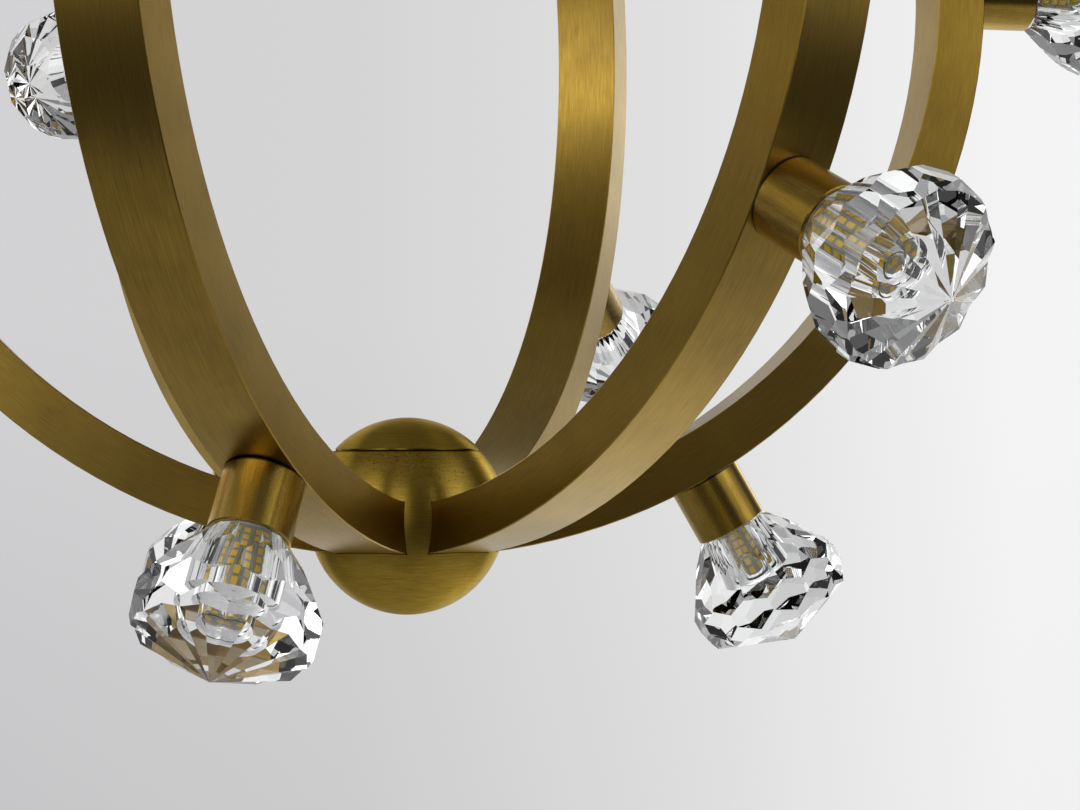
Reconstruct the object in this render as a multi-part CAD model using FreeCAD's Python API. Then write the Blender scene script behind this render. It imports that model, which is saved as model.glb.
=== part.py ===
import FreeCAD, Part
import math
import os

# Globe pendant light: six curved brass arms between two balls, crystal lamps on the arms.
# Millimetres, +Z up. The origin is on the ceiling, at the centre of the crossbar's top face.

os.makedirs("parts", exist_ok=True)

# Cage of arms
arm_count = 6
arm_outer_radius = 238.0
arm_width = 30.0
arm_depth = 20.0
arm_wall = 2.0
arm_edge = 0.4
arc_offset = 4.6
ball_rise = 6.0
arm_end_reach = 28.5
window_clearance = 0.15

# Plugs that close the arm ends and reach into the hubs
plug_clearance = 0.15
plug_length = 14.0
tenon_width = 16.0
tenon_depth = 12.0
tenon_reach = 16.0
wire_hole_radius = 1.7

# Balls
ball_radius = 40.0
ball_wall = 2.8
seam_height_share = 0.66
seam_gap = 0.8
seam_depth = 1.0
cap_wall = 2.5
cap_skirt_length = 5.0
cap_skirt_clearance = 0.3
boss_radius = 9.5

# Hubs inside the balls
hub_radius = 25.0
hub_top = 6.0
hub_bottom = 17.0
hub_slot_clearance = 0.2
hub_slot_rise = 1.0
hub_slot_end_gap = 0.6
hub_screw_reach = 20.5
hub_screw_radius = 2.5
hub_screw_head_radius = 4.2
hub_screw_head_height = 4.0
hub_screw_depth = 15.0
hub_bolt_radius = 4.0
hub_bolt_head_radius = 6.5
hub_bolt_head_height = 4.5
hub_bolt_depth = 13.0
hub_wire_radius = 2.5
hub_wire_reach = 12.6
thread_clearance = 0.05
hex_key_share = 0.45
key_depth_share = 0.6

# Lamps: arc angles from the cage's equator
three_lamp_angle = 60.0
two_lamp_angle = 28.5

# Lamp cup
cup_radius = 15.0
cup_length = 24.0
cup_wall = 1.5
cup_floor = 3.0
cup_edge = 0.4
lamp_bolt_radius = 5.0
lamp_bolt_bore = 3.0
lamp_bolt_flats = 14.0
lamp_bolt_head = 4.0
lamp_bolt_tail = 2.0

# Lampholder and bulb
holder_radius = 10.0
holder_length = 13.0
holder_socket_radius = 6.4
socket_clearance = 0.2
socket_depth = 4.0
pin_hole_radius = 1.6
pin_hole_spacing = 5.0
bulb_radius = 8.0
bulb_base_length = 6.0
bulb_tube_length = 24.5
bulb_wall = 0.8
board_radius = 6.5
board_sides = 8
board_end_gap = 0.6

# Crystal
crystal_sides = 12
girdle_apothem = 32.0
crystal_height = 53.7
crystal_gap = 0.8
neck_clearance = 0.3
neck_depth = 8.0
bore_clearance = 0.3
bore_length = 26.0
bore_dome = 3.8
# Each tier of facets: height and apothem at two places, as shares of crystal_height
# and girdle_apothem, and its turn as a share of one facet
tier_shares = [
    (0.000, 0.442, 0.394, 1.000, 0.0),
    (0.153, 0.681, 0.465, 1.000, 0.5),
    (0.000, 1.000, 1.000, 1.000, 0.0),
    (0.600, 1.035, 0.767, 0.911, 0.5),
]
star_height_share = 0.767
star_ridge_share = 0.905
star_valley_share = 0.875

# Ceiling fixing
bar_length = 112.0
bar_width = 20.0
bar_thickness = 2.5
bar_drop = 8.0
bar_step_length = 30.0
screw_hole_spacing = 90.0
screw_hole_radius = 2.6
nipple_radius = 5.0
nipple_bore = 3.5
nipple_rise = 5.0
nipple_length = 38.0
nipple_nut_flats = 17.0
nipple_nut_height = 3.5
earth_screw_reach = 29.0
earth_screw_radius = 2.0
earth_head_radius = 4.0
earth_head_height = 3.0
terminal_length = 14.0
terminal_width = 18.0
terminal_height = 12.0
terminal_reach = 28.0
terminal_hole_radius = 1.6
terminal_screw_radius = 1.8
terminal_screw_depth = 3.0
terminal_poles = 3

# Canopy
canopy_radius = 75.0
canopy_height = 30.0
canopy_wall = 1.5
canopy_bend = 8.0
ring_outer_radius = 17.0
ring_height = 9.0
ring_edge = 1.0
ring_flutes = 24
flute_radius = 0.9
canopy_travel = 25.0

# Swivel and stem
neck_radius = 11.0
neck_sleeve_clearance = 0.3
neck_rise = 9.0
knuckle_gap = 1.5
ear_radius = 10.0
fork_slot = 9.0
tongue_thickness = 8.4
tongue_radius = 9.0
fork_root = 2.5
pin_radius = 3.0
pin_clearance = 0.05
pin_head_radius = 5.0
pin_head_height = 1.6
shoulder_drop = 12.5
eye_base_height = 6.0
eye_spigot_length = 12.0
stem_radius = 8.0
stem_wall = 1.6
stem_length = 280.0
stem_tip_radius = 6.0
stem_tip_bore = 3.5
collar_height = 9.0
collar_base_radius = 15.0
collar_top_radius = 10.5
stem_nut_flats = 19.0
stem_nut_height = 5.0

overrun = 1.0

# Levels and radii that follow from the sizes above
arm_mid_radius = arm_outer_radius - arm_depth / 2
ball_offset = arm_mid_radius - ball_rise
seam_height = ball_radius * seam_height_share
neck_top = -canopy_height + neck_rise
neck_bottom = -canopy_height - ring_height - canopy_travel - knuckle_gap
pin_level = neck_bottom - fork_root - tongue_radius
eye_top = pin_level - shoulder_drop
stem_top = eye_top - eye_base_height
upper_ball_level = stem_top - stem_length - ball_radius
cage_level = upper_ball_level - ball_offset
lower_ball_level = cage_level - ball_offset
cup_inner_radius = cup_radius - cup_wall
crystal_neck_radius = cup_inner_radius - neck_clearance
crystal_bore_radius = holder_radius + bore_clearance
bolt_head_top = -cup_length + cup_floor + lamp_bolt_head
holder_top = bolt_head_top + holder_length
bulb_base_top = holder_top + bulb_base_length
bulb_top = bulb_base_top + bulb_tube_length

origin = FreeCAD.Vector(0, 0, 0)
axis_x = FreeCAD.Vector(1, 0, 0)
axis_y = FreeCAD.Vector(0, 1, 0)
axis_z = FreeCAD.Vector(0, 0, 1)


def save(node, solids):
    """Write one node; a list of solids becomes a compound."""
    shape = Part.makeCompound(solids) if len(solids) > 1 else solids[0]
    shape.exportStep("parts/" + node + ".step")
    print(node, len(solids), round(shape.Volume / 1000, 2), "cm3")


def cylinder(radius, low, high, x=0, y=0):
    """Upright cylinder between two levels."""
    return Part.makeCylinder(radius, high - low, FreeCAD.Vector(x, y, low))


def tube(outer, inner, low, high):
    """Upright tube between two levels."""
    return cylinder(outer, low, high).cut(cylinder(inner, low - overrun, high + overrun))


def box(low_x, low_y, low_z, high_x, high_y, high_z):
    """Box between two corners."""
    corner = FreeCAD.Vector(low_x, low_y, low_z)
    return Part.makeBox(high_x - low_x, high_y - low_y, high_z - low_z, corner)


def polygon_prism(radius, sides, low, high, turn=0):
    """Upright prism on a regular polygon whose corners lie at the radius."""
    return polygon_frustum(radius, radius, sides, low, high, turn)


def polygon_corners(radius, sides, level, turn):
    """Corners of a regular polygon."""
    step = 2 * math.pi / sides
    angles = [step * index + turn for index in range(sides)]
    return [FreeCAD.Vector(radius * math.cos(angle), radius * math.sin(angle), level) for angle in angles]


def flat_faced(outlines):
    """Solid bounded by flat faces, each given by its corners."""
    faces = [Part.Face(Part.makePolygon(corners + [corners[0]])) for corners in outlines]
    return Part.Solid(Part.makeShell(faces))


def polygon_frustum(low_radius, high_radius, sides, low, high, turn=0):
    """Straight-sided frustum between two like polygons."""
    foot = polygon_corners(low_radius, sides, low, turn)
    head = polygon_corners(high_radius, sides, high, turn)
    outlines = [foot, head]
    for index in range(sides):
        outlines.append([foot[index - 1], foot[index], head[index], head[index - 1]])
    return flat_faced(outlines)


def hexagon(flats, low, high):
    """Hexagonal prism of a given width across flats."""
    return polygon_prism(flats / math.sqrt(3), 6, low, high)


def revolve(points):
    """Solid of revolution about Z of an outline given as radius and level pairs."""
    corners = [FreeCAD.Vector(radius, 0, level) for radius, level in points]
    face = Part.Face(Part.makePolygon(corners + [corners[0]]))
    return face.revolve(origin, axis_z, 360)


def sphere(radius, level):
    """Ball about a point of the Z axis."""
    return Part.makeSphere(radius, FreeCAD.Vector(0, 0, level))


def block_outline(low, high, half, edge):
    """Rectangle of radii and sides, with its corners cut off unless the edge is zero."""
    if edge == 0:
        return [(low, -half), (high, -half), (high, half), (low, half)]
    return [(low + edge, -half), (high - edge, -half), (high, edge - half), (high, half - edge),
            (high - edge, half), (low + edge, half), (low, half - edge), (low, edge - half)]


def arc_block(depth_low, depth_high, width, start, end, edge=0):
    """Block bent along the arm's arc, in the plane of an arm that points to +X."""
    outline = block_outline(arm_outer_radius - depth_high, arm_outer_radius - depth_low, width / 2, edge)
    corners = [FreeCAD.Vector(radius, side, 0) for radius, side in outline]
    block = Part.Face(Part.makePolygon(corners + [corners[0]])).revolve(origin, axis_y, start - end)
    block.rotate(origin, axis_y, -start)
    block.translate(FreeCAD.Vector(arc_offset, 0, cage_level))
    return block


def arc_angle(reach):
    """Arc angle, from the equator, at which the arm's centreline lies at a distance from Z."""
    return math.degrees(math.acos((reach - arc_offset) / arm_mid_radius))


def to_arm(shape, index):
    """Turn a shape from the +X plane to the plane of one arm; the first arm points to -Y."""
    placed = shape.copy()
    placed.rotate(origin, axis_z, 360 / arm_count * index - 90)
    return placed


def to_lamp(shape, index, angle):
    """Place a shape built on Z, with Z=0 at the cup's mouth, on a lamp's axis."""
    placed = shape.copy()
    placed.rotate(origin, axis_y, 90 - angle)
    reach = arm_outer_radius + cup_length
    along = math.cos(math.radians(angle)) * reach
    rise = math.sin(math.radians(angle)) * reach
    placed.translate(FreeCAD.Vector(arc_offset + along, 0, cage_level + rise))
    return to_arm(placed, index)


def mirror_to_top(shape):
    """Mirror a shape of the lower ball to the upper ball."""
    return shape.mirror(FreeCAD.Vector(0, 0, cage_level), axis_z)


def lamp_angles(index):
    """Arc angles of the lamps on one arm."""
    if index % 2 == 0:
        return [-three_lamp_angle, 0, three_lamp_angle]
    return [-two_lamp_angle, two_lamp_angle]


def all_lamps():
    """Arm index and arc angle of every lamp."""
    return [(index, angle) for index in range(arm_count) for angle in lamp_angles(index)]


def lamp_group(shape, index):
    """Copies of a lamp piece on one arm."""
    return [to_lamp(shape, index, angle) for angle in lamp_angles(index)]


def make_arm(index):
    """Curved rectangular tube with a hole for each lamp bolt."""
    end = arc_angle(arm_end_reach)
    outer = arc_block(0, arm_depth, arm_width, -end, end, arm_edge)
    extra = math.degrees(overrun / arm_mid_radius)
    inner_width = arm_width - 2 * arm_wall
    inner = arc_block(arm_wall, arm_depth - arm_wall, inner_width, -end - extra, end + extra)
    arm = to_arm(outer.cut(inner), index)
    hole_low = -cup_length - arm_wall - overrun
    hole = cylinder(lamp_bolt_radius + thread_clearance, hole_low, -cup_length + overrun)
    for angle in lamp_angles(index):
        arm = arm.cut(to_lamp(hole, index, angle))
    return arm


def make_lower_plug():
    """Plug in the lower end of an arm, with the tenon that enters the hub."""
    end = -arc_angle(arm_end_reach)
    plug_end = end + math.degrees(plug_length / arm_mid_radius)
    inset = arm_wall + plug_clearance
    plug_width = arm_width - 2 * inset
    plug = arc_block(inset, arm_depth - inset, plug_width, end, plug_end)
    tenon_low = (arm_depth - tenon_depth) / 2
    tenon_end = -arc_angle(tenon_reach)
    tenon = arc_block(tenon_low, arm_depth - tenon_low, tenon_width, tenon_end, end)
    plug = plug.fuse(tenon).removeSplitter()
    level = lower_ball_level
    hole = cylinder(hub_screw_radius + thread_clearance, level - ball_radius, level + ball_radius)
    hole.translate(FreeCAD.Vector(hub_screw_reach, 0, 0))
    plug = plug.cut(hole)
    wire_side = (tenon_width + plug_width) / 4
    middle_level = cage_level - math.sqrt(arm_mid_radius**2 - (arm_end_reach - arc_offset) ** 2)
    for side in (1, -1):
        start = FreeCAD.Vector(arm_end_reach - plug_length, side * wire_side, middle_level)
        bore = Part.makeCylinder(wire_hole_radius, plug_length * 3, start, axis_x)
        plug = plug.cut(bore)
    return plug


def make_ball_shell():
    """Lower ball's shell: open at the seam, with a window for each arm and a boss inside."""
    level = lower_ball_level
    inner = ball_radius - ball_wall
    shell = sphere(ball_radius, level).cut(sphere(inner, level))
    boss = cylinder(boss_radius, level - ball_radius + ball_wall / 2, level - hub_bottom)
    boss = boss.common(sphere(ball_radius - ball_wall / 2, level))
    shell = shell.fuse(boss)
    shell = shell.cut(cylinder(ball_radius, level + seam_height, level + ball_radius + overrun))
    end = -arc_angle(arm_end_reach)
    past_ball = -arc_angle(ball_radius + arm_depth)
    window = arc_block(-window_clearance, arm_depth + window_clearance,
                       arm_width + 2 * window_clearance, end, past_ball)
    for index in range(arm_count):
        shell = shell.cut(to_arm(window, index))
    return shell.removeSplitter()


def make_lower_ball():
    """Lower ball's shell with the blind threaded hole for its bolt."""
    level = lower_ball_level
    low = level - hub_bottom - hub_bolt_depth
    hole = cylinder(hub_bolt_radius + thread_clearance, low, level)
    return make_ball_shell().cut(hole)


def make_upper_ball():
    """Upper ball's shell, upside down, with the stem's hole through its boss."""
    level = upper_ball_level
    hole = cylinder(stem_tip_radius + thread_clearance, level, level + ball_radius + overrun)
    return mirror_to_top(make_ball_shell()).cut(hole)


def make_lower_cap():
    """Cap above the lower ball's seam, with a skirt inside the opening."""
    level = lower_ball_level
    seam = level + seam_height
    rim_radius = math.sqrt(ball_radius**2 - seam_height**2)
    opening = math.sqrt((ball_radius - ball_wall) ** 2 - seam_height**2)
    above = cylinder(ball_radius, seam + seam_gap, level + ball_radius + overrun)
    dome = sphere(ball_radius, level).common(above)
    step = cylinder(rim_radius - seam_depth, seam, seam + seam_gap)
    skirt_radius = opening - cap_skirt_clearance
    skirt = cylinder(skirt_radius, seam - cap_skirt_length, seam)
    cap = dome.fuse(step).fuse(skirt)
    hollow = cylinder(skirt_radius - cap_wall, seam - cap_skirt_length - overrun, level + ball_radius)
    hollow = hollow.common(sphere(ball_radius - cap_wall, level))
    return cap.cut(hollow).removeSplitter()


def make_lower_hub(centre_radius):
    """Round hub with a radial slot for each arm's tenon."""
    level = lower_ball_level
    hub = cylinder(hub_radius, level - hub_bottom, level + hub_top)
    middle = cage_level - math.sqrt(arm_mid_radius**2 - (tenon_reach - arc_offset) ** 2)
    half_width = tenon_width / 2 + hub_slot_clearance
    half_depth = tenon_depth / 2 + hub_slot_clearance
    slot = box(tenon_reach - hub_slot_end_gap, -half_width, middle - half_depth,
               hub_radius + overrun, half_width, middle + half_depth + hub_slot_rise)
    screw_hole = cylinder(hub_screw_radius + thread_clearance, level, level + hub_top + overrun,
                          hub_screw_reach)
    low = level - hub_bottom - overrun
    wire_hole = cylinder(hub_wire_radius, low, level + hub_top + overrun, hub_wire_reach)
    wire_hole.rotate(origin, axis_z, 180 / arm_count)
    for index in range(arm_count):
        hub = hub.cut(to_arm(slot, index))
        hub = hub.cut(to_arm(screw_hole, index))
        hub = hub.cut(to_arm(wire_hole, index))
    return hub.cut(cylinder(centre_radius, low, level + hub_top + overrun))


def make_socket_screw(radius, head_radius, head_height, depth, seat):
    """Socket-head screw that stands upright, with its head on a seat."""
    head = cylinder(head_radius, seat, seat + head_height)
    shank = cylinder(radius, seat - depth, seat)
    key = head_radius * hex_key_share
    key_low = seat + head_height * (1 - key_depth_share)
    return head.fuse(shank).cut(polygon_prism(key, 6, key_low, seat + head_height + overrun))


def make_hub_screws():
    """Screws that clamp the tenons in the lower hub."""
    seat = lower_ball_level + hub_top
    screw = make_socket_screw(hub_screw_radius, hub_screw_head_radius, hub_screw_head_height,
                              hub_screw_depth, seat)
    screw.translate(FreeCAD.Vector(hub_screw_reach, 0, 0))
    return [to_arm(screw, index) for index in range(arm_count)]


def make_hub_bolt():
    """Bolt from the lower hub into the ball's boss."""
    seat = lower_ball_level + hub_top
    depth = hub_top + hub_bottom + hub_bolt_depth - overrun
    return make_socket_screw(hub_bolt_radius, hub_bolt_head_radius, hub_bolt_head_height, depth, seat)


def make_cup():
    """Straight cup with a hole for its bolt."""
    cup = cylinder(cup_radius, -cup_length, 0)
    cup = cup.cut(cylinder(cup_inner_radius, -cup_length + cup_floor, overrun))
    hole = cylinder(lamp_bolt_radius + thread_clearance, -cup_length - overrun, 0)
    cup = cup.cut(hole)
    rims = [edge for edge in cup.Edges if abs(edge.BoundBox.ZMin) < cup_edge
            and abs(edge.BoundBox.XMax - cup_radius) < cup_edge]
    return cup.makeChamfer(cup_edge, rims)


def make_lamp_bolt():
    """Hollow hexagon bolt that holds the cup to the arm."""
    seat = -cup_length + cup_floor
    head = hexagon(lamp_bolt_flats, seat, bolt_head_top)
    shank = cylinder(lamp_bolt_radius, -cup_length - arm_wall - lamp_bolt_tail, seat)
    low = -cup_length - arm_wall - lamp_bolt_tail - overrun
    return head.fuse(shank).cut(cylinder(lamp_bolt_bore, low, bolt_head_top + overrun))


def make_holder():
    """Ceramic lampholder with a socket and two pin holes."""
    holder = cylinder(holder_radius, bolt_head_top, holder_top)
    socket_low = holder_top - socket_depth
    holder = holder.cut(cylinder(holder_socket_radius, socket_low, holder_top + overrun))
    for side in (1, -1):
        holder = holder.cut(cylinder(pin_hole_radius, bolt_head_top - overrun, socket_low + overrun,
                                     side * pin_hole_spacing / 2))
    return holder


def make_bulb_base():
    """Moulded bulb base whose foot sits in the socket."""
    foot = cylinder(holder_socket_radius - socket_clearance, holder_top - socket_depth, holder_top)
    return foot.fuse(cylinder(bulb_radius, holder_top, bulb_base_top))


def make_bulb_tube():
    """Clear tube of the bulb, closed at its end."""
    tube_shape = cylinder(bulb_radius, bulb_base_top, bulb_top)
    hollow = cylinder(bulb_radius - bulb_wall, bulb_base_top - overrun, bulb_top - bulb_wall)
    return tube_shape.cut(hollow)


def make_bulb_board():
    """Many-sided circuit board core with a closed end."""
    high = bulb_top - bulb_wall - board_end_gap
    return polygon_prism(board_radius, board_sides, bulb_base_top, high)


def make_star():
    """Star-shaped pyramid whose point is the crystal's point."""
    reach = girdle_apothem * star_ridge_share / (1 - star_height_share)
    base = []
    for index in range(2 * crystal_sides):
        radius = reach if index % 2 == 0 else reach * star_valley_share
        angle = math.pi / crystal_sides * index
        base.append(FreeCAD.Vector(radius * math.cos(angle), radius * math.sin(angle), crystal_gap))
    apex = FreeCAD.Vector(0, 0, crystal_gap + crystal_height)
    sides = [[base[index - 1], base[index], apex] for index in range(len(base))]
    return flat_faced([base] + sides)


def make_tier(low_height, low_share, high_height, high_share, turn_share):
    """Frustum that cuts one tier of facets over the crystal's whole height."""
    slope = (high_share - low_share) / (high_height - low_height)
    corner = girdle_apothem / math.cos(math.pi / crystal_sides)
    foot = corner * (low_share - slope * low_height)
    head = corner * (low_share + slope * (1 - low_height))
    turn = 2 * math.pi / crystal_sides * (turn_share + 1 / 2)
    top = crystal_gap + crystal_height
    return polygon_frustum(foot, head, crystal_sides, crystal_gap, top, turn)


def make_crystal():
    """Faceted crystal with a neck for the cup and a round-ended bore for the bulb."""
    crystal = make_star()
    for shares in tier_shares:
        crystal = crystal.common(make_tier(*shares))
    neck = cylinder(crystal_neck_radius, -neck_depth, crystal_gap)
    crystal = crystal.fuse(neck).removeSplitter()
    bore = cylinder(crystal_bore_radius, -neck_depth - overrun, bore_length)
    dome_radius = (crystal_bore_radius**2 + bore_dome**2) / (2 * bore_dome)
    dome = sphere(dome_radius, bore_length + bore_dome - dome_radius)
    dome = dome.common(cylinder(crystal_bore_radius, bore_length, bore_length + bore_dome + overrun))
    return crystal.cut(bore.fuse(dome))


def make_crossbar():
    """Ceiling bar whose middle is stepped down to clear the nut."""
    half = bar_length / 2
    step = bar_step_length / 2
    low = -bar_thickness
    outline = [(-half, 0), (-step, 0), (-step, -bar_drop), (step, -bar_drop), (step, 0), (half, 0),
               (half, low), (step + bar_thickness, low), (step + bar_thickness, low - bar_drop),
               (-step - bar_thickness, low - bar_drop), (-step - bar_thickness, low), (-half, low)]
    points = [FreeCAD.Vector(along, -bar_width / 2, level) for along, level in outline]
    bar = Part.Face(Part.makePolygon(points + [points[0]])).extrude(axis_y * bar_width)
    deep = -bar_drop - bar_thickness - overrun
    bar = bar.cut(cylinder(nipple_radius + thread_clearance, deep, overrun))
    for side in (1, -1):
        bar = bar.cut(cylinder(screw_hole_radius, deep, overrun, side * screw_hole_spacing / 2))
    return bar.cut(cylinder(earth_screw_radius + thread_clearance, deep, overrun, earth_screw_reach))


def make_nipple():
    """Hollow threaded tube between the crossbar and the swivel."""
    top = -bar_drop + nipple_rise
    return tube(nipple_radius, nipple_bore, top - nipple_length, top)


def make_nipple_nuts():
    """Lock nuts above and below the crossbar."""
    hole = nipple_radius + thread_clearance
    nuts = []
    for low in (-bar_drop, -bar_drop - bar_thickness - nipple_nut_height):
        high = low + nipple_nut_height
        nut = hexagon(nipple_nut_flats, low, high)
        nuts.append(nut.cut(cylinder(hole, low - overrun, high + overrun)))
    return nuts


def make_earth_screw():
    """Earth screw under the crossbar."""
    shank = cylinder(earth_screw_radius, -bar_thickness, 0, earth_screw_reach)
    head_low = -bar_thickness - earth_head_height
    head = cylinder(earth_head_radius, head_low, -bar_thickness, earth_screw_reach)
    slot_half = earth_screw_radius / 4
    slot = box(earth_screw_reach - earth_head_radius, -slot_half, head_low - overrun,
               earth_screw_reach + earth_head_radius, slot_half, head_low + earth_head_height / 3)
    return head.fuse(shank).cut(slot)


def make_terminal_block():
    """Terminal block under the crossbar, with a wire hole and a screw well for each pole."""
    high = -bar_thickness
    low = high - terminal_height
    start = -terminal_reach - terminal_length / 2
    end = -terminal_reach + terminal_length / 2
    block = box(start, -terminal_width / 2, low, end, terminal_width / 2, high)
    pitch = terminal_width / terminal_poles
    for pole in range(terminal_poles):
        side = pitch * (pole + 1 / 2) - terminal_width / 2
        mouth = FreeCAD.Vector(start - overrun, side, (low + high) / 2)
        wire_hole = Part.makeCylinder(terminal_hole_radius, terminal_length + 2 * overrun, mouth, axis_x)
        well = cylinder(terminal_screw_radius, low - overrun, low + terminal_screw_depth,
                        -terminal_reach, side)
        block = block.cut(wire_hole).cut(well)
    return block


def make_canopy():
    """Spun dish, open towards the ceiling, with a hole for the swivel's neck."""
    dish = cylinder(canopy_radius, -canopy_height, 0)
    foot = [edge for edge in dish.Edges if abs(edge.BoundBox.ZMax + canopy_height) < overrun / 2
            and len(edge.Vertexes) == 1]
    dish = dish.makeFillet(canopy_bend, foot)
    hollow = cylinder(canopy_radius - canopy_wall, -canopy_height + canopy_wall, overrun)
    floor = -canopy_height + canopy_wall
    foot = [edge for edge in hollow.Edges if abs(edge.BoundBox.ZMax - floor) < overrun / 2
            and len(edge.Vertexes) == 1]
    hollow = hollow.makeFillet(canopy_bend - canopy_wall, foot)
    hole = neck_radius + neck_sleeve_clearance
    dish = dish.cut(hollow)
    return dish.cut(cylinder(hole, -canopy_height - overrun, overrun))


def make_canopy_ring():
    """Fluted ring that holds the canopy up."""
    high = -canopy_height
    low = high - ring_height
    inner = neck_radius + neck_sleeve_clearance
    outline = [(inner, low), (ring_outer_radius - ring_edge, low), (ring_outer_radius, low + ring_edge),
               (ring_outer_radius, high - ring_edge), (ring_outer_radius - ring_edge, high), (inner, high)]
    ring = revolve(outline)
    flute = cylinder(flute_radius, low - overrun, high + overrun, ring_outer_radius)
    for index in range(ring_flutes):
        groove = flute.copy()
        groove.rotate(origin, axis_z, 360 / ring_flutes * index)
        ring = ring.cut(groove)
    return ring


def side_disc(radius, half_width, level):
    """Disc about the tilt pin's axis."""
    start = FreeCAD.Vector(-half_width, 0, level)
    return Part.makeCylinder(radius, 2 * half_width, start, axis_x)


def make_yoke():
    """Swivel: a neck that turns on the nipple, and a fork for the stem's eye."""
    yoke = cylinder(neck_radius, neck_bottom, neck_top)
    fork = cylinder(neck_radius, pin_level, neck_bottom)
    fork = fork.fuse(side_disc(ear_radius, neck_radius, pin_level))
    fork = fork.common(cylinder(neck_radius, pin_level - ear_radius, neck_bottom))
    yoke = yoke.fuse(fork).removeSplitter()
    gap = fork_slot / 2
    yoke = yoke.cut(box(-gap, -neck_radius, pin_level - ear_radius - overrun,
                        gap, neck_radius, pin_level + tongue_radius + fork_root / 2))
    nipple_end = -bar_drop + nipple_rise - nipple_length
    yoke = yoke.cut(cylinder(nipple_radius + thread_clearance, nipple_end - overrun, neck_top + overrun))
    yoke = yoke.cut(cylinder(nipple_bore, pin_level, neck_top))
    return yoke.cut(side_disc(pin_radius + pin_clearance, neck_radius + overrun, pin_level))


def make_pin():
    """Tilt pin with a head at each end, against the fork."""
    pin = side_disc(pin_radius, neck_radius, pin_level)
    for side in (1, -1):
        start = FreeCAD.Vector(side * neck_radius, 0, pin_level)
        pin = pin.fuse(Part.makeCylinder(pin_head_radius, pin_head_height, start, axis_x * side))
    return pin.removeSplitter()


def make_eye():
    """Tongue on the tilt pin, with a base and a spigot for the stem."""
    half = tongue_thickness / 2
    tongue = side_disc(tongue_radius, half, pin_level)
    web = box(-half, -tongue_radius, eye_top, half, tongue_radius, pin_level)
    web = web.common(cylinder(stem_radius, eye_top, pin_level))
    eye = tongue.fuse(web).fuse(cylinder(stem_radius, stem_top, eye_top))
    spigot_radius = stem_radius - stem_wall - thread_clearance
    eye = eye.fuse(cylinder(spigot_radius, stem_top - eye_spigot_length, stem_top))
    eye = eye.cut(cylinder(nipple_bore, stem_top - eye_spigot_length - overrun, eye_top - overrun))
    return eye.cut(side_disc(pin_radius + pin_clearance, neck_radius, pin_level)).removeSplitter()


def make_stem():
    """Stem tube with a threaded tip through the upper ball and its hub."""
    low = upper_ball_level + ball_radius
    stem = tube(stem_radius, stem_radius - stem_wall, low, stem_top)
    tip_low = upper_ball_level - hub_top - stem_nut_height
    tip = cylinder(stem_tip_radius, tip_low, low + stem_wall)
    plate = cylinder(stem_radius, low, low + stem_wall)
    stem = stem.fuse(plate).fuse(tip)
    return stem.cut(cylinder(stem_tip_bore, tip_low - overrun, low + stem_wall + overrun)).removeSplitter()


def make_stem_collar():
    """Flared collar where the stem meets the upper ball."""
    seat = upper_ball_level + ball_radius
    base_drop = ball_radius - math.sqrt(ball_radius**2 - collar_base_radius**2)
    inner = stem_radius + thread_clearance
    outline = [(inner, seat - base_drop), (collar_base_radius, seat - base_drop),
               (collar_base_radius, seat), (collar_top_radius, seat + collar_height),
               (inner, seat + collar_height)]
    return revolve(outline).cut(sphere(ball_radius, upper_ball_level))


def make_stem_nut():
    """Nut on the stem's tip, under the upper hub."""
    high = upper_ball_level - hub_top
    nut = hexagon(stem_nut_flats, high - stem_nut_height, high)
    hole = stem_tip_radius + thread_clearance
    return nut.cut(cylinder(hole, high - stem_nut_height - overrun, high + overrun))


def save_ceiling_pieces():
    """Pieces on the ceiling, the canopy, the swivel and the stem."""
    save("crossbar", [make_crossbar()])
    save("threaded_nipple", [make_nipple()])
    save("nipple_nuts", make_nipple_nuts())
    save("earth_screw", [make_earth_screw()])
    save("terminal_block", [make_terminal_block()])
    save("canopy_dish", [make_canopy()])
    save("canopy_ring", [make_canopy_ring()])
    save("swivel_yoke", [make_yoke()])
    save("tilt_pin", [make_pin()])
    save("stem_eye", [make_eye()])
    save("stem", [make_stem()])
    save("stem_collar", [make_stem_collar()])
    save("stem_nut", [make_stem_nut()])


def save_cage_pieces():
    """Balls, hubs, arms and the fasteners between them."""
    cap = make_lower_cap()
    screws = make_hub_screws()
    plug = make_lower_plug()
    lower_plugs = [to_arm(plug, index) for index in range(arm_count)]
    save("lower_ball", [make_lower_ball()])
    save("upper_ball", [make_upper_ball()])
    save("lower_cap", [cap])
    save("upper_cap", [mirror_to_top(cap)])
    save("lower_hub", [make_lower_hub(hub_bolt_radius + thread_clearance)])
    save("upper_hub", [mirror_to_top(make_lower_hub(stem_tip_radius + thread_clearance))])
    save("lower_hub_screws", screws)
    save("upper_hub_screws", [mirror_to_top(screw) for screw in screws])
    save("lower_hub_bolt", [make_hub_bolt()])
    save("arm_end_plugs", lower_plugs + [mirror_to_top(solid) for solid in lower_plugs])
    for index in range(arm_count):
        save("arm_" + str(index + 1), [make_arm(index)])


def save_lamp_pieces():
    """Cups, lampholders, bulbs and crystals."""
    cup = make_cup()
    bulb_tube = make_bulb_tube()
    for index in range(arm_count):
        save("lamp_cups_" + str(index + 1), lamp_group(cup, index))
        save("bulb_tubes_" + str(index + 1), lamp_group(bulb_tube, index))
    for node, piece in (("lamp_bolts", make_lamp_bolt()), ("lampholders", make_holder()),
                        ("bulb_bases", make_bulb_base()), ("bulb_boards", make_bulb_board())):
        save(node, [to_lamp(piece, index, angle) for index, angle in all_lamps()])
    crystal = make_crystal()
    for number, (index, angle) in enumerate(all_lamps()):
        save("crystal_" + str(number + 1), [to_lamp(crystal, index, angle)])


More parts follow.
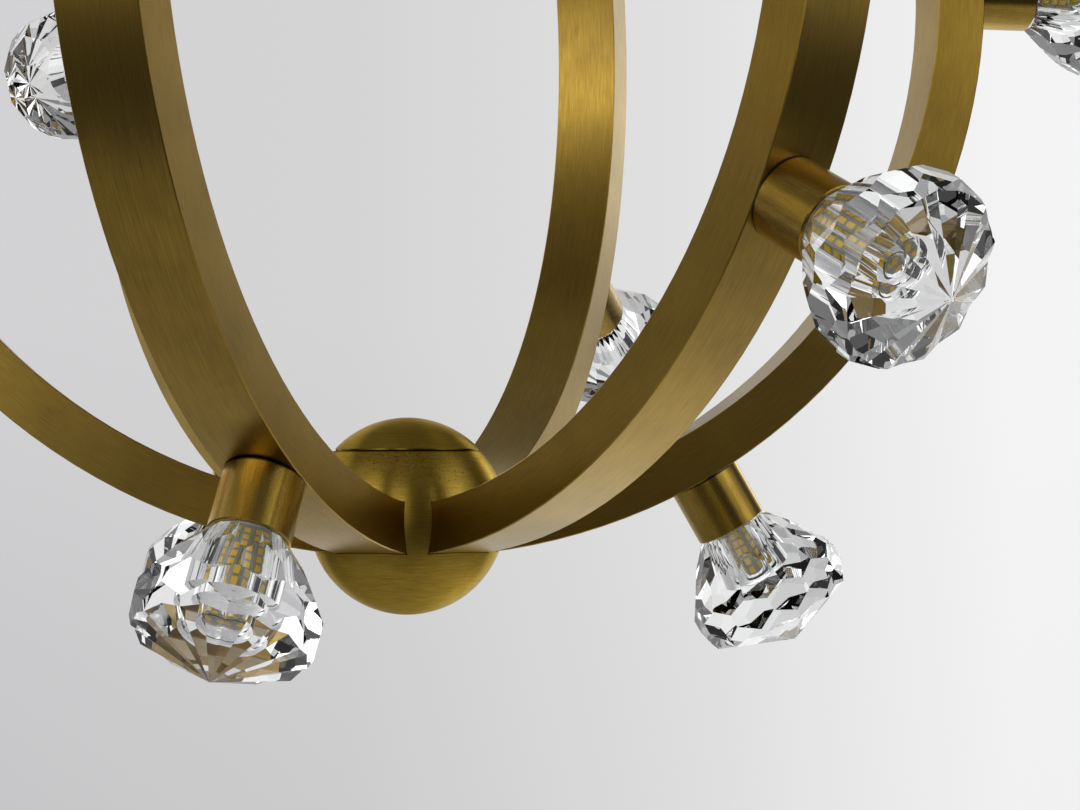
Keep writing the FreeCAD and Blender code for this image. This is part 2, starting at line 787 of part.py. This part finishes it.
save_ceiling_pieces()
save_cage_pieces()
save_lamp_pieces()
print("cage level", round(cage_level, 3), "lower ball level", round(lower_ball_level, 3))
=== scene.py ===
import math

import bpy
from mathutils import Matrix, Vector


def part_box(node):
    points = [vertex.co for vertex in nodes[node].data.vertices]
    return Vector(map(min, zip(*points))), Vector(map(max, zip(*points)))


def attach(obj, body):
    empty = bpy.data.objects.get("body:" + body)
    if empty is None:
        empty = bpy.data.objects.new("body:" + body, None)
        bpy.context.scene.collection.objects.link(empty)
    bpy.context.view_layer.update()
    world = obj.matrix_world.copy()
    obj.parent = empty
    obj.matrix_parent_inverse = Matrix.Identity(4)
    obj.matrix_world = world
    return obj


# Globe pendant light seen from below its middle. Metres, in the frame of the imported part.

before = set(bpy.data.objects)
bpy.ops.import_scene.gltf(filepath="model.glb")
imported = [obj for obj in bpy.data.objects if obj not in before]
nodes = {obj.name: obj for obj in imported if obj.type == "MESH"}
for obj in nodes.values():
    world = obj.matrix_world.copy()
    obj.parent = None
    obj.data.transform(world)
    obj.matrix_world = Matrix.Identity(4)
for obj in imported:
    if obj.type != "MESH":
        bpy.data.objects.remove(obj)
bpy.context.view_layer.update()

# Cage: six arms on one arc each, whose centre stands off the middle
arm_count = 6
arm_pitch = 360 / arm_count
arm_depth = 0.020
arc_offset = 0.0046
arm_outer_radius = 0.238
arm_mid_radius = arm_outer_radius - arm_depth / 2
arm_low, arm_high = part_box("arm_1")
cage_level = (arm_low[2] + arm_high[2]) / 2

# Balls, with the seam's height measured from a ball's centre
ball_radius = 0.040
seam_height = 0.0264
# Width of the painted shadow line along a ball's seam
painted_seam_shadow_width = 0.0006
speck_reach = 0.022
lower_ball_centre = Vector((0, 0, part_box("lower_ball")[0][2] + ball_radius))
upper_ball_centre = Vector((0, 0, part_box("upper_ball")[1][2] - ball_radius))

# Lamps on the arms: three on every other arm, and two on the ones between
three_lamp_angle = 60.0
two_lamp_angle = 28.5
cup_length = 0.024
# Width of the painted shadow line at the foot of each cup, where it meets the arm
painted_root_shadow_width = 0.0008

# Bulb, with levels measured from the cup's mouth along the lamp's axis
board_sides = 8
board_radius = 0.0065
board_top = 0.0251
chip_width = 0.0026
chip_height = 0.0030
chip_thickness = 0.0005
chip_sizes = (chip_width, chip_height, chip_thickness)
chip_rows = 5
chip_pitch = 0.0042
first_chip_share = 0.55
end_chip_count = 4
end_chip_reach = 0.0040
end_chip_turn = 0.4

# Stage, in directions turned with the camera: x to the right and y away from it
floor_level = -2.4
floor_start = -1.6
stage_half = 3.0
stage_reach = 2.6
stage_top = 1.2
# Across this span the paper's colour carries a painted light falloff, grey at the left to nearly white at the
# right
paper_left = -1.2
paper_right = 1.6
# Painted pool of light on the floor: its glow is strongest near this place and fades with distance
floor_glow_centre = (0.8, 1.4, floor_level)
floor_glow_start = 0.5
floor_glow_reach = 1.8
floor_glow_most = 0.95
floor_glow_least = 0.35
# Painted shade on the backdrop: dimmer below this level, most of all at the left
backdrop_dim_level = -1.5
backdrop_dim_height = 0.9
left_dimming = 0.85
right_dimming = 0.97

# Soft lamps: degrees to the right of the camera's heading, degrees up, distance, width and height, radiance
lamp_aim_drop = 0.1
soft_lamps = [
    ("key_softbox", -157, 10, 2.3, (2.2, 1.4), 1.6),
    ("rear_softbox", 125, 15, 2.3, (1.8, 0.9), 1.15),
    ("right_softbox", 104, 23, 2.1, (1.5, 2.4), 0.5),
    ("left_softbox", -128, 20, 2.2, (2.4, 1.4), 1.0),
    ("window_softbox", -56, 16, 2.2, (2.5, 2.1), 0.65),
    ("ahead_softbox", 36, 15, 2.2, (0.35, 0.7), 1.9),
    ("low_softbox", 26, -40, 2.2, (1.0, 1.3), 0.4),
]

# Room beyond the stage, from straight down to straight up
room_low = (0.06, 0.06, 0.06, 1)
room_high = (0.28, 0.28, 0.285, 1)

# Camera, measured against the photograph, whose frame is 1080 by 810
photo_width = 1080
focal_pixels = 2148.4
camera_from_ball = Vector((0.3558, -0.8004, 0.0201))
camera_heading = -20.433
camera_pitch = 1.633
camera_roll = 0.079
sensor_width = 36.0
near_clip = 0.01


def linear(code):
    """Linear colour of a hex sRGB code."""
    values = [int(code[index:index + 2], 16) / 255 for index in (0, 2, 4)]
    return [v / 12.92 if v <= 0.04045 else ((v + 0.055) / 1.055) ** 2.4 for v in values] + [1]


white = linear("ffffff")

# Brass: tones over the range that most of a noise lies in, tint at grazing angles, brushing, and lacquer
noise_low, noise_middle, noise_high = 0.3, 0.5, 0.7
brass_tones = [(noise_low, linear("765b10")), (noise_middle, linear("93751b")),
               (noise_high, linear("aa8a2a"))]
ball_tones = [(noise_low, linear("7a6120")), (noise_middle, linear("967b2f")),
              (noise_high, linear("aa9040"))]
brass_edge = (1.0, 0.88, 0.55, 1.0)
# Colour of the painted shadow at the foot of each cup
painted_root_shadow_colour = linear("3c3c3c")
# Colour of the dark specks, also used for the painted shadow along a ball's seam
speck_and_seam_shadow_colour = linear("2a1d0a")
lacquer_roughness = 0.3
lacquer_ior = 1.35
streak_share = 0.55
patch_share = 0.45
grain_depth = 0.0001
arm_squeeze = 0.03
cup_squeeze = (0.04, 1, 1)
turned_squeeze = (0.05, 0.05, 1)
roughness_swing = 0.05

# Specks beside a ball's seam: wear near it, far from it and in patches, and where a speck shows
speck_squash = (0.6, 0.6, 1)
worn_near, worn_far = 0.06, -0.03
worn_least, worn_most = -0.03, 0.04
speck_start, speck_full = 0.63, 0.70
speck_strength = 0.7

# Share of a lamp's light that glass lets through to what is behind it
clear_shadow_share = 0.85
ripple_depth = 0.001


class Shader:
    """Short way to add and link the nodes of one material or world."""

    def __init__(self, owner):
        owner.use_nodes = True
        self.tree = owner.node_tree
        self.tree.nodes.clear()

    def feed(self, socket, value):
        """Link a socket to another socket, or set its value."""
        if isinstance(value, bpy.types.NodeSocket):
            self.tree.links.new(value, socket)
        else:
            socket.default_value = value

    def add(self, kind, inputs=None, **settings):
        """Add a node; inputs maps socket names or numbers to values or to other sockets."""
        made = self.tree.nodes.new("ShaderNode" + kind)
        for name, value in settings.items():
            setattr(made, name, value)
        for name, value in (inputs or {}).items():
            self.feed(made.inputs[name], value)
        return made

    def math(self, operation, *values):
        """Output of a math node."""
        return self.add("Math", dict(enumerate(values)), operation=operation).outputs[0]

    def vector(self, operation, *values):
        """Output of a vector math node."""
        return self.add("VectorMath", dict(enumerate(values)), operation=operation).outputs[0]

    def length(self, vector):
        """Length of a vector."""
        return self.add("VectorMath", {0: vector}, operation="LENGTH").outputs["Value"]

    def rotate(self, vector, angle, axis):
        """Vector turned about an axis through zero."""
        inputs = {"Vector": vector, "Angle": angle}
        return self.add("VectorRotate", inputs, rotation_type=axis + "_AXIS").outputs["Vector"]

    def split(self, vector):
        """Outputs for the three parts of a vector."""
        return self.add("SeparateXYZ", {0: vector}).outputs

    def join(self, x=0.0, y=0.0, z=0.0):
        """Vector from its three parts."""
        return self.add("CombineXYZ", {0: x, 1: y, 2: z}).outputs[0]

    def noise(self, vector, scale, detail=3.0, roughness=0.6):
        """Factor of a noise texture."""
        inputs = {"Vector": vector, "Scale": scale, "Detail": detail, "Roughness": roughness}
        return self.add("TexNoise", inputs).outputs["Fac"]

    def spread(self, value, low, high, new_low, new_high):
        """Value mapped from one range to another."""
        inputs = {"Value": value, "From Min": low, "From Max": high, "To Min": new_low, "To Max": new_high}
        return self.add("MapRange", inputs).outputs["Result"]

    def ramp(self, value, stops):
        """Colour of a ramp with stops given as place and colour."""
        made = self.add("ValToRGB", {"Fac": value})
        elements = made.color_ramp.elements
        while len(elements) < len(stops):
            elements.new(0.5)
        for element, (place, colour) in zip(elements, stops):
            element.position = place
            element.color = colour
        return made.outputs["Color"]

    def blend(self, factor, first, second, mode="MIX"):
        """Mix of two colours."""
        made = self.add("Mix", data_type="RGBA", blend_type=mode)
        for name, value in (("Factor", factor), ("A", first), ("B", second)):
            socket = [s for s in made.inputs if s.name == name and s.enabled][0]
            self.feed(socket, value)
        return [s for s in made.outputs if s.enabled][0]

    def bump(self, height, strength, distance=grain_depth):
        """Normal of a bump node."""
        inputs = {"Height": height, "Strength": strength, "Distance": distance}
        return self.add("Bump", inputs).outputs["Normal"]

    def mix_shaders(self, factor, first, second):
        """Surface between two surfaces."""
        return self.add("MixShader", {0: factor, 1: first, 2: second}).outputs[0]

    def finish(self, surface):
        """Link the surface to the output."""
        self.add("OutputMaterial", {"Surface": surface})

    def principled(self, inputs):
        """Principled surface linked to the output."""
        self.finish(self.add("BsdfPrincipled", inputs).outputs["BSDF"])


def new_material(name):
    """Empty material and its shader helper."""
    made = bpy.data.materials.new(name)
    return made, Shader(made)


def object_place(shader):
    """Object coordinates, which are the part's own coordinates at rest."""
    return shader.add("TexCoord").outputs["Object"]


def across_brushing(shader, along):
    """Tangent square to the brushing, the way in which its highlights spread."""
    normal = shader.add("NewGeometry").outputs["Normal"]
    return shader.vector("NORMALIZE", shader.vector("CROSS_PRODUCT", normal, along))


def brushed_tone(shader, streaks, patches):
    """Tone from fine streaks and slow patches."""
    return shader.math("MULTIPLY_ADD", streaks, streak_share, shader.math("MULTIPLY", patches, patch_share))


def brass_surface(shader, streaks, patches, tangent, roughness=0.34, anisotropy=0.6, shade=None):
    """Satin brass under clear lacquer; shade is an optional factor on the colour, for painted shade."""
    tone = brushed_tone(shader, streaks, patches)
    colour = shader.ramp(tone, brass_tones)
    if shade is not None:
        colour = shader.blend(1.0, colour, shade, "MULTIPLY")
    roughest, smoothest = roughness + roughness_swing, roughness - roughness_swing
    rough = shader.spread(tone, noise_low, noise_high, roughest, smoothest)
    shader.principled({"Base Color": colour, "Metallic": 1.0, "Roughness": rough, "Specular Tint": brass_edge,
                       "Coat Weight": 1.0, "Coat Roughness": lacquer_roughness, "Coat IOR": lacquer_ior,
                       "Anisotropic": anisotropy, "Tangent": tangent, "Normal": shader.bump(streaks, 0.12)})


def arm_turn(index):
    """Radians from the first arm to another."""
    return math.radians(arm_pitch * index)


def arm_plane_place(shader, index):
    """Coordinates turned so that the arm lies in the XZ plane, with the arc's centre at zero."""
    turned = shader.rotate(object_place(shader), -math.radians(arm_pitch * index - 90), "Z")
    return shader.vector("SUBTRACT", turned, (arc_offset, 0, cage_level))


def place_from_arc(shader, index):
    """Place measured from the centre of the arm's arc, with the part's own directions."""
    turn = arm_turn(index)
    centre = (math.sin(turn) * arc_offset, -math.cos(turn) * arc_offset, cage_level)
    return shader.vector("SUBTRACT", object_place(shader), centre)


def make_arm_brass(index):
    """Brass brushed along one arm."""
    made, shader = new_material("arm_brass_" + str(index + 1))
    place = arm_plane_place(shader, index)
    parts = shader.split(place)
    angle = shader.math("ARCTAN2", parts[2], parts[0])
    radius = shader.length(shader.join(x=parts[0], z=parts[2]))
    along = shader.math("MULTIPLY", angle, arm_mid_radius)
    brushed = shader.join(shader.math("MULTIPLY", along, arm_squeeze), parts[1], radius)
    streaks = shader.noise(brushed, scale=2600, roughness=0.65)
    patches = shader.noise(place, scale=24, detail=4.0)
    side = (math.cos(arm_turn(index)), math.sin(arm_turn(index)), 0)
    along_arm = shader.vector("CROSS_PRODUCT", side, place_from_arc(shader, index))
    brass_surface(shader, streaks, patches, across_brushing(shader, along_arm))
    return made


def lamp_angles(index):
    """Arc angles of the lamps on one arm."""
    if index % 2 == 0:
        return [-three_lamp_angle, 0.0, three_lamp_angle]
    return [-two_lamp_angle, two_lamp_angle]


def nearest_lamp(shader, index, angle):
    """Arc angle of the lamp that is nearest on one arm, in radians."""
    if index % 2 == 0:
        step = math.radians(three_lamp_angle)
        return shader.math("MULTIPLY", shader.math("ROUND", shader.math("DIVIDE", angle, step)), step)
    return shader.math("MULTIPLY", shader.math("SIGN", angle), math.radians(two_lamp_angle))


def make_cup_brass(index):
    """Brass brushed along the cups of one arm, with a painted shadow line where a cup meets the arm."""
    made, shader = new_material("cup_brass_" + str(index + 1))
    place = arm_plane_place(shader, index)
    parts = shader.split(place)
    angle = shader.math("ARCTAN2", parts[2], parts[0])
    local = shader.rotate(place, nearest_lamp(shader, index, angle), "Y")
    brushed = shader.vector("MULTIPLY", local, cup_squeeze)
    streaks = shader.noise(brushed, scale=2400, roughness=0.65)
    patches = shader.noise(place, scale=60)
    height = shader.math("SUBTRACT", shader.split(local)[0], arm_outer_radius)
    # Painted shadow: darkens a thin band at the cup's foot, where it meets the arm
    root = shader.spread(height, painted_root_shadow_width / 2, painted_root_shadow_width, 0.0, 1.0)
    shade = shader.ramp(root, [(0.0, painted_root_shadow_colour), (1.0, white)])
    tangent = shader.vector("NORMALIZE", place_from_arc(shader, index))
    brass_surface(shader, streaks, patches, tangent, roughness=0.27, anisotropy=0.75, shade=shade)
    return made


def ball_specks(shader, place, patches, from_seam):
    """Amount of dark specks, most beside the seam, and none further from the ball's middle level than it."""
    specks = shader.noise(shader.vector("MULTIPLY", place, speck_squash), scale=2300, detail=2.0)
    near_seam = shader.spread(from_seam, 0.0, speck_reach, worn_near, worn_far)
    in_patches = shader.spread(patches, 0.35, 0.65, worn_least, worn_most)
    worn = shader.math("ADD", near_seam, in_patches)
    pitted = shader.spread(shader.math("ADD", specks, worn), speck_start, speck_full, 0.0, speck_strength)
    level = shader.math("ABSOLUTE", shader.split(place)[2])
    return shader.math("MULTIPLY", pitted, shader.math("LESS_THAN", level, seam_height))


def make_ball_brass(name, centre, seam):
    """Brass turned in level rings, with a painted shadow line along the seam and fine dark specks beside it.
    """
    made, shader = new_material(name)
    place = shader.vector("SUBTRACT", object_place(shader), tuple(centre))
    parts = shader.split(place)
    streaks = shader.noise(shader.vector("MULTIPLY", place, turned_squeeze), scale=2300, roughness=0.7)
    patches = shader.noise(place, scale=45, detail=4.0)
    from_seam = shader.math("ABSOLUTE", shader.math("SUBTRACT", parts[2], seam))
    # Painted shadow: a thin dark line along the seam between ball and cap, darkened together with the specks
    line = shader.spread(from_seam, painted_seam_shadow_width / 2, painted_seam_shadow_width, 1.0, 0.0)
    dark = shader.math("MAXIMUM", ball_specks(shader, place, patches, from_seam), line)
    tone = brushed_tone(shader, streaks, patches)
    colour = shader.blend(dark, shader.ramp(tone, ball_tones), speck_and_seam_shadow_colour)
    outward = shader.join(parts[0], parts[1])
    tangent = across_brushing(shader, shader.vector("CROSS_PRODUCT", (0, 0, 1), outward))
    shader.principled({"Base Color": colour, "Metallic": 1.0, "Specular Tint": brass_edge,
                       "Roughness": shader.spread(tone, noise_low, noise_high, 0.37, 0.29),
                       "Anisotropic": 0.7, "Tangent": tangent, "Normal": shader.bump(streaks, 0.15)})
    return made


def make_turned_brass():
    """Brass turned about the stem's axis."""
    made, shader = new_material("turned_brass")
    place = object_place(shader)
    streaks = shader.noise(shader.vector("MULTIPLY", place, turned_squeeze), scale=2300, roughness=0.65)
    patches = shader.noise(place, scale=30, detail=4.0)
    tangent = across_brushing(shader, shader.vector("CROSS_PRODUCT", (0, 0, 1), place))
    brass_surface(shader, streaks, patches, tangent)
    return made


def cloudy_colour(shader, place, scale, dark, light):
    """Colour that drifts between two tones."""
    cloud = shader.noise(place, scale)
    return shader.ramp(cloud, [(noise_low, linear(dark)), (noise_high, linear(light))])


def make_metal(name, dark, light, roughness):
    """Plain machined or plated metal."""
    made, shader = new_material(name)
    place = object_place(shader)
    grain = shader.noise(place, scale=700)
    rough = shader.spread(grain, noise_low, noise_high, roughness + 0.08, roughness - 0.05)
    shader.principled({"Base Color": cloudy_colour(shader, place, 60, dark, light), "Metallic": 1.0,
                       "Roughness": rough, "Normal": shader.bump(grain, 0.15)})
    return made


def make_matt(name, dark, light, roughness, grain_scale):
    """Moulded plastic, ceramic or coated board."""
    made, shader = new_material(name)
    place = object_place(shader)
    grain = shader.noise(place, grain_scale)
    rough = shader.spread(grain, noise_low, noise_high, roughness + 0.08, roughness - 0.08)
    shader.principled({"Base Color": cloudy_colour(shader, place, 120, dark, light),
                       "Roughness": rough, "Normal": shader.bump(grain, 0.2)})
    return made


def make_clear(name, tint, ior, roughness, ripple):
    """Clear glass or plastic with a faint ripple in its surface."""
    made, shader = new_material(name)
    wave = shader.noise(object_place(shader), scale=90, detail=2.0, roughness=0.5)
    tone = shader.ramp(wave, [(noise_low, linear(tint)), (noise_high, white)])
    shadow_ray = shader.add("LightPath").outputs["Is Shadow Ray"]
    solid = shader.math("SUBTRACT", 1.0, shader.math("MULTIPLY", shadow_ray, clear_shadow_share))
    shader.principled({"Base Color": tone, "Roughness": roughness, "IOR": ior, "Alpha": solid,
                       "Transmission Weight": 1.0, "Normal": shader.bump(wave, ripple, ripple_depth)})
    return made


def give(names, material):
    """Give CAD nodes a material."""
    for name in names:
        slots = nodes[name].data.materials
        slots.clear()
        slots.append(material)


def numbered(stem):
    """Names of the nodes that there is one of for each arm."""
    return [stem + str(index + 1) for index in range(arm_count)]


def dress_frame():
    """Materials of the CAD nodes."""
    for index, (arm, cups) in enumerate(zip(numbered("arm_"), numbered("lamp_cups_"))):
        give([arm], make_arm_brass(index))
        give([cups], make_cup_brass(index))
    give(["lower_ball", "lower_cap"], make_ball_brass("lower_ball_brass", lower_ball_centre, seam_height))
    give(["upper_ball", "upper_cap"], make_ball_brass("upper_ball_brass", upper_ball_centre, -seam_height))
    give(["canopy_dish", "canopy_ring", "swivel_yoke", "tilt_pin", "stem_eye", "stem", "stem_collar"],
         make_turned_brass())
    give(["upper_hub", "lower_hub", "arm_end_plugs", "lamp_bolts"],
         make_metal("raw_brass", "b08d3c", "d0ad5c", roughness=0.3))
    give(["crossbar", "threaded_nipple", "nipple_nuts", "earth_screw", "stem_nut", "upper_hub_screws",
          "lower_hub_screws", "lower_hub_bolt"],
         make_metal("zinc_steel", "9a9c9e", "c2c4c6", roughness=0.35))
    give(["terminal_block"],
         make_matt("terminal_plastic", "d6d6d2", "e8e8e4", roughness=0.5, grain_scale=900))
    give(["lampholders"],
         make_matt("holder_ceramic", "dcdad2", "efede6", roughness=0.6, grain_scale=1200))
    give(["bulb_bases"],
         make_matt("bulb_plastic", "c4c4c0", "dcdcd8", roughness=0.5, grain_scale=900))
    give(["bulb_boards"],
         make_matt("board", "8f907c", "a0a18e", roughness=0.55, grain_scale=1400))
    give(numbered("bulb_tubes_"),
         make_clear("bulb_clear", "f4f6f6", ior=1.2, roughness=0.02, ripple=0.02))
    give([name for name in nodes if name.startswith("crystal_")],
         make_clear("crystal_glass", "f6f8f8", ior=1.54, roughness=0.0, ripple=0.015))


def mesh_object(name, corners, faces, material):
    """Object from corners and faces."""
    mesh = bpy.data.meshes.new(name)
    mesh.from_pydata([tuple(corner) for corner in corners], [], faces)
    mesh.materials.append(material)
    mesh.update()
    item = bpy.data.objects.new(name, mesh)
    bpy.context.scene.collection.objects.link(item)
    return item


def lamp_matrix(index, angle):
    """Place of a lamp: +Z along its axis, zero at the cup's mouth."""
    reach = arm_outer_radius + cup_length
    tilt = Matrix.Rotation(math.radians(90 - angle), 4, "Y")
    along = math.cos(math.radians(angle)) * reach
    rise = math.sin(math.radians(angle)) * reach
    shift = Matrix.Translation((arc_offset + along, 0, cage_level + rise))
    turn = Matrix.Rotation(math.radians(arm_pitch * index - 90), 4, "Z")
    return turn @ shift @ tilt


def chip_mesh(centre, across, up, out):
    """Corners and faces of one diode, with its own directions."""
    width, height, thickness = chip_sizes
    corners = []
    for a in (-0.5, 0.5):
        for b in (-0.5, 0.5):
            for c in (0, 1):
                corners.append(centre + across * width * a + up * height * b + out * thickness * c)
    faces = [(0, 1, 3, 2), (4, 6, 7, 5), (0, 4, 5, 1), (2, 3, 7, 6), (0, 2, 6, 4), (1, 5, 7, 3)]
    return corners, faces


def directions(angle):
    """Level directions at an angle: outward, and across that."""
    outward = Vector((math.cos(angle), math.sin(angle), 0))
    across = Vector((-math.sin(angle), math.cos(angle), 0))
    return outward, across


def bulb_chips():
    """One bulb's diodes: a column on each side of the board and a few on its end."""
    up = Vector((0, 0, 1))
    flat = board_radius * math.cos(math.pi / board_sides)
    chips = []
    for side in range(board_sides):
        outward, across = directions(2 * math.pi / board_sides * (side + 0.5))
        for row in range(chip_rows):
            level = board_top - chip_pitch * (row + first_chip_share)
            chips.append(chip_mesh(outward * flat + up * level, across, up, outward))
    for count in range(end_chip_count):
        outward, across = directions(2 * math.pi / end_chip_count * count + end_chip_turn)
        chips.append(chip_mesh(outward * end_chip_reach + up * board_top, across, outward, up))
    return chips


def make_chips():
    """Diodes of the bulbs, one object for each arm."""
    material = make_matt("diode_yellow", "f4c000", "ffd014", roughness=0.4, grain_scale=1500)
    pattern = bulb_chips()
    for index, name in enumerate(numbered("diodes_")):
        corners, faces = [], []
        for angle in lamp_angles(index):
            place = lamp_matrix(index, angle)
            for chip_corners, chip_faces in pattern:
                start = len(corners)
                corners += [place @ corner for corner in chip_corners]
                faces += [tuple(start + corner for corner in face) for face in chip_faces]
        item = mesh_object(name, corners, faces, material)
        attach(item, "fixture")


def seen_directly(shader):
    """1 for the rays that see the stage's own colour: camera, glossy and transmission rays."""
    rays = shader.add("LightPath").outputs
    through = shader.math("MAXIMUM", rays["Is Glossy Ray"], rays["Is Transmission Ray"])
    return shader.math("MAXIMUM", rays["Is Camera Ray"], through)


def paper_surface(shader, colour, seen):
    """Paper that shows its colour where seen directly, takes light elsewhere and is clear from behind."""
    diffuse = shader.add("BsdfDiffuse", {"Color": colour}).outputs[0]
    glow = shader.add("Emission", {"Color": colour, "Strength": 1.0}).outputs[0]
    behind = shader.add("NewGeometry").outputs["Backfacing"]
    clear = shader.add("BsdfTransparent").outputs[0]
    shader.finish(shader.mix_shaders(behind, shader.mix_shaders(seen, diffuse, glow), clear))


def paper_with_painted_falloff(shader, across):
    """Pale paper with a painted light falloff: grey at the left, turning nearly white at the right."""
    return shader.ramp(across, [(0.1, linear("d2d1d3")), (0.34, linear("d5d4d5")),
                                (0.54, linear("e1e1e1")), (0.72, linear("f4f4f4"))])


def make_backdrop_paper():
    """Backdrop's paper, with painted shade that makes it a little dimmer low down, most of all at the left.
    """
    made, shader = new_material("backdrop")
    parts = shader.split(object_place(shader))
    across = shader.spread(parts[0], paper_left, paper_right, 0.0, 1.0)
    dimmest = shader.spread(across, 0.1, 0.6, left_dimming, right_dimming)
    low = shader.spread(parts[2], backdrop_dim_level, backdrop_dim_level + backdrop_dim_height, dimmest, 1.0)
    colour = shader.vector("MULTIPLY", paper_with_painted_falloff(shader, across), shader.join(low, low, low))
    paper_surface(shader, colour, seen_directly(shader))
    return made


def make_floor_paper():
    """Floor's paper with a painted pool of light: it glows most near one place, and further away shows more
    of the light and shadow that fall on it.
    """
    made, shader = new_material("floor")
    place = object_place(shader)
    across = shader.spread(shader.split(place)[0], paper_left, paper_right, 0.0, 1.0)
    away = shader.length(shader.vector("SUBTRACT", place, floor_glow_centre))
    share = shader.spread(away, floor_glow_start, floor_glow_reach, floor_glow_most, floor_glow_least)
    seen = shader.math("MULTIPLY", seen_directly(shader), share)
    paper_surface(shader, paper_with_painted_falloff(shader, across), seen)
    return made


def make_stage():
    """Pale backdrop and floor, square to the camera's heading."""
    left, right, near, far = -stage_half, stage_half, floor_start, stage_reach
    backdrop = mesh_object("backdrop", [(left, far, floor_level), (right, far, floor_level),
                                        (right, far, stage_top), (left, far, stage_top)],
                           [(0, 1, 2, 3)], make_backdrop_paper())
    floor = mesh_object("floor", [(left, near, floor_level), (right, near, floor_level),
                                  (right, far, floor_level), (left, far, floor_level)],
                        [(0, 1, 2, 3)], make_floor_paper())
    for item in (backdrop, floor):
        item.rotation_euler = (0, 0, math.radians(-camera_heading))


def make_world():
    """Dim room, a little paler overhead, the same for every ray."""
    world = bpy.data.worlds.new("studio")
    bpy.context.scene.world = world
    shader = Shader(world)
    rise = shader.split(shader.add("TexCoord").outputs["Generated"])[2]
    room = shader.ramp(rise, [(0.0, room_low), (1.0, room_high)])
    background = shader.add("Background", {"Color": room, "Strength": 1.0}).outputs[0]
    shader.add("OutputWorld", {"Surface": background})


def toward(heading, rise):
    """Direction at a heading, in degrees to the right of +Y, and at degrees above level."""
    turn, tilt = math.radians(heading), math.radians(rise)
    return Vector((math.sin(turn) * math.cos(tilt), math.cos(turn) * math.cos(tilt), math.sin(tilt)))


def make_lamps():
    """Plain soft rectangular lamps that face the cage."""
    target = Vector((0, 0, cage_level - lamp_aim_drop))
    for name, azimuth, elevation, distance, size, radiance in soft_lamps:
        data = bpy.data.lights.new(name, "AREA")
        data.shape = "RECTANGLE"
        data.size, data.size_y = size
        data.energy = radiance * math.pi * size[0] * size[1]
        item = bpy.data.objects.new(name, data)
        away = toward(camera_heading + azimuth, elevation)
        item.location = target + away * distance
        item.rotation_euler = away.to_track_quat("Z", "Y").to_euler()
        bpy.context.scene.collection.objects.link(item)


def make_camera():
    """Camera at the photograph's place and angle."""
    ahead = toward(camera_heading, camera_pitch)
    right = toward(camera_heading + 90, 0)
    down = -right.cross(ahead)
    roll = math.radians(camera_roll)
    right_rolled = right * math.cos(roll) + down * math.sin(roll)
    down_rolled = down * math.cos(roll) - right * math.sin(roll)
    data = bpy.data.cameras.new("camera")
    data.sensor_width = sensor_width
    data.lens = focal_pixels * sensor_width / photo_width
    data.clip_start = near_clip
    item = bpy.data.objects.new("camera", data)
    turn = Matrix((right_rolled, -down_rolled, -ahead)).transposed().to_4x4()
    item.matrix_world = Matrix.Translation(lower_ball_centre + camera_from_ball) @ turn
    bpy.context.scene.collection.objects.link(item)
    bpy.context.scene.camera = item


dress_frame()
make_chips()
make_stage()
make_world()
make_lamps()
make_camera()
bpy.context.scene.view_settings.view_transform = "Standard"
